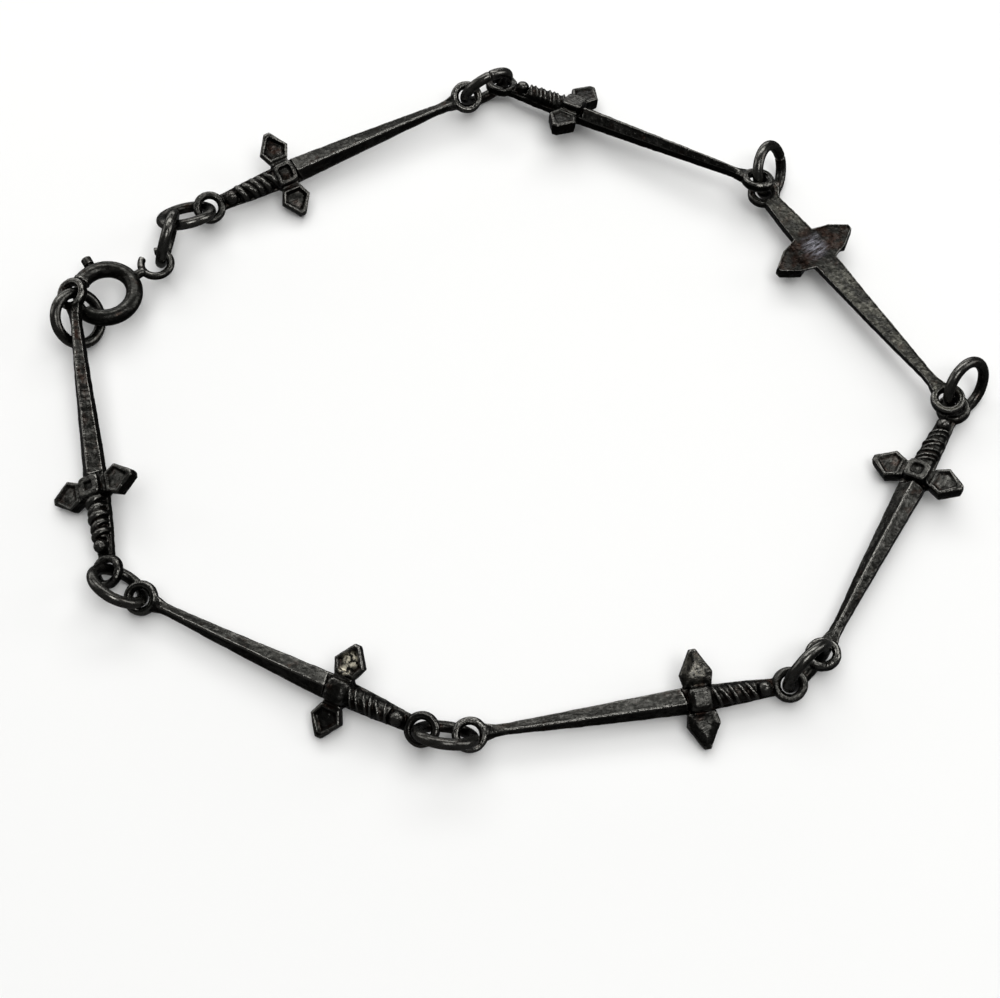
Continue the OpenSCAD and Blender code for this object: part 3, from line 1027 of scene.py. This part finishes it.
# Soft lights in watts and metres: width and height, place, and whether they show in reflections
Softbox = namedtuple("Softbox", "name power size place reflected")
SOFTBOXES = (
    Softbox("overhead_light", 3.2, (0.7, 0.7), (0.0, 0.0, 0.6), False),
    Softbox("back_softbox", 0.62, (0.5, 0.14), (0.0, 0.28, 0.31), True),
    Softbox("ceiling_softbox", 0.34, (0.17, 0.17), (0.12, -0.12, 0.42), True),
    Softbox("right_softbox", 0.28, (0.14, 0.3), (0.38, 0.05, 0.16), True),
    Softbox("left_softbox", 0.12, (0.14, 0.3), (-0.36, 0.12, 0.15), True),
    Softbox("low_softbox", 0.30, (0.6, 0.1), (-0.1, 0.36, 0.04), True),
)


def add_softbox(box):
    """Large soft light that points at the bracelet."""
    lamp = bpy.data.lights.new(box.name, "AREA")
    lamp.shape = "RECTANGLE"
    lamp.size, lamp.size_y = box.size
    lamp.energy = box.power
    made = bpy.data.objects.new(box.name, lamp)
    made.location = box.place
    made.rotation_mode = "QUATERNION"
    made.rotation_quaternion = (-Vector(box.place)).to_track_quat("-Z", "Y")
    made.visible_camera = False
    made.visible_glossy = box.reflected
    bpy.context.scene.collection.objects.link(made)


def add_floor(shade):
    """Pale paper floor, kept out of the metal's reflections."""
    paper = bpy.data.materials.new("Pale Paper")
    paper.use_nodes = True
    shader = paper.node_tree.nodes["Principled BSDF"]
    shader.inputs["Base Color"].default_value = shade
    shader.inputs["Roughness"].default_value = 0.9
    mesh = bpy.data.meshes.new("floor")
    ends = ((-1, -1), (1, -1), (1, 1), (-1, 1))
    mesh.from_pydata([(x * FLOOR_HALF, y * FLOOR_HALF, -FLOOR_DROP) for x, y in ends], [], [(0, 1, 2, 3)])
    mesh.materials.append(paper)
    floor = bpy.data.objects.new("floor", mesh)
    bpy.context.scene.collection.objects.link(floor)
    floor.visible_glossy = False


def dim_world():
    """Weak white light from all round."""
    world = bpy.data.worlds.new("studio")
    world.use_nodes = True
    sky = world.node_tree.nodes["Background"]
    sky.inputs["Strength"].default_value = WORLD_LIGHT
    sky.inputs["Color"].default_value = (1, 1, 1, 1)
    return world


def add_camera(stage):
    """Camera at the photograph's angle, level from side to side."""
    lens = bpy.data.cameras.new("camera")
    lens.lens = stage.lens
    lens.sensor_width = 36
    lens.clip_start = 0.005
    camera = bpy.data.objects.new("camera", lens)
    look = Vector((0, math.cos(stage.elevation), -math.sin(stage.elevation)))
    camera.location = Vector(stage.aim) - look * stage.distance
    camera.rotation_euler = (math.pi / 2 - stage.elevation, 0, 0)
    bpy.context.scene.collection.objects.link(camera)
    return camera


class BRACELET_OT_stage(bpy.types.Operator):
    """Set out the pale floor, the soft lights and the camera"""

    bl_idname = "bracelet.stage"
    bl_label = "Stage"

    def execute(self, context):
        scene = context.scene
        add_floor(scene.bracelet_stage.floor)
        for box in SOFTBOXES:
            add_softbox(box)
        scene.world = dim_world()
        scene.view_settings.view_transform = "Standard"
        scene.camera = add_camera(scene.bracelet_stage)
        return {"FINISHED"}


class BRACELET_PT_panel(bpy.types.Panel):
    """Pieces of the bracelet and their sizes"""

    bl_label = "Sword Link Bracelet"
    bl_idname = "BRACELET_PT_panel"
    bl_space_type = "VIEW_3D"
    bl_region_type = "UI"
    bl_category = "Bracelet"

    def draw(self, context):
        for operator in OPERATORS:
            self.layout.operator(operator.bl_idname)
        for label in SETTINGS:
            group = getattr(context.scene, label)
            box = self.layout.box()
            for key in group.bl_rna.properties.keys():
                if key not in {"rna_type", "name"}:
                    box.prop(group, key)


SETTINGS = {
    "bracelet_sword": SwordLinkSettings,
    "bracelet_wire": WireSettings,
    "bracelet_finish": FinishSettings,
    "bracelet_stage": StageSettings,
}
OPERATORS = (
    BRACELET_OT_sword_links,
    BRACELET_OT_jump_rings,
    BRACELET_OT_clasp_body,
    BRACELET_OT_clasp_bolt,
    BRACELET_OT_stage,
)


def register():
    for label, group in SETTINGS.items():
        bpy.utils.register_class(group)
        setattr(bpy.types.Scene, label, PointerProperty(type=group))
    for cls in (*OPERATORS, BRACELET_PT_panel):
        bpy.utils.register_class(cls)


def unregister():
    for cls in (BRACELET_PT_panel, *reversed(OPERATORS)):
        bpy.utils.unregister_class(cls)
    for label, group in SETTINGS.items():
        delattr(bpy.types.Scene, label)
        bpy.utils.unregister_class(group)


def main():
    """Builds every piece and the stage."""
    register()
    bpy.ops.bracelet.sword_links()
    bpy.ops.bracelet.jump_rings()
    bpy.ops.bracelet.clasp_body()
    bpy.ops.bracelet.clasp_bolt()
    bpy.ops.bracelet.stage()


if __name__ == "__main__":
    main()
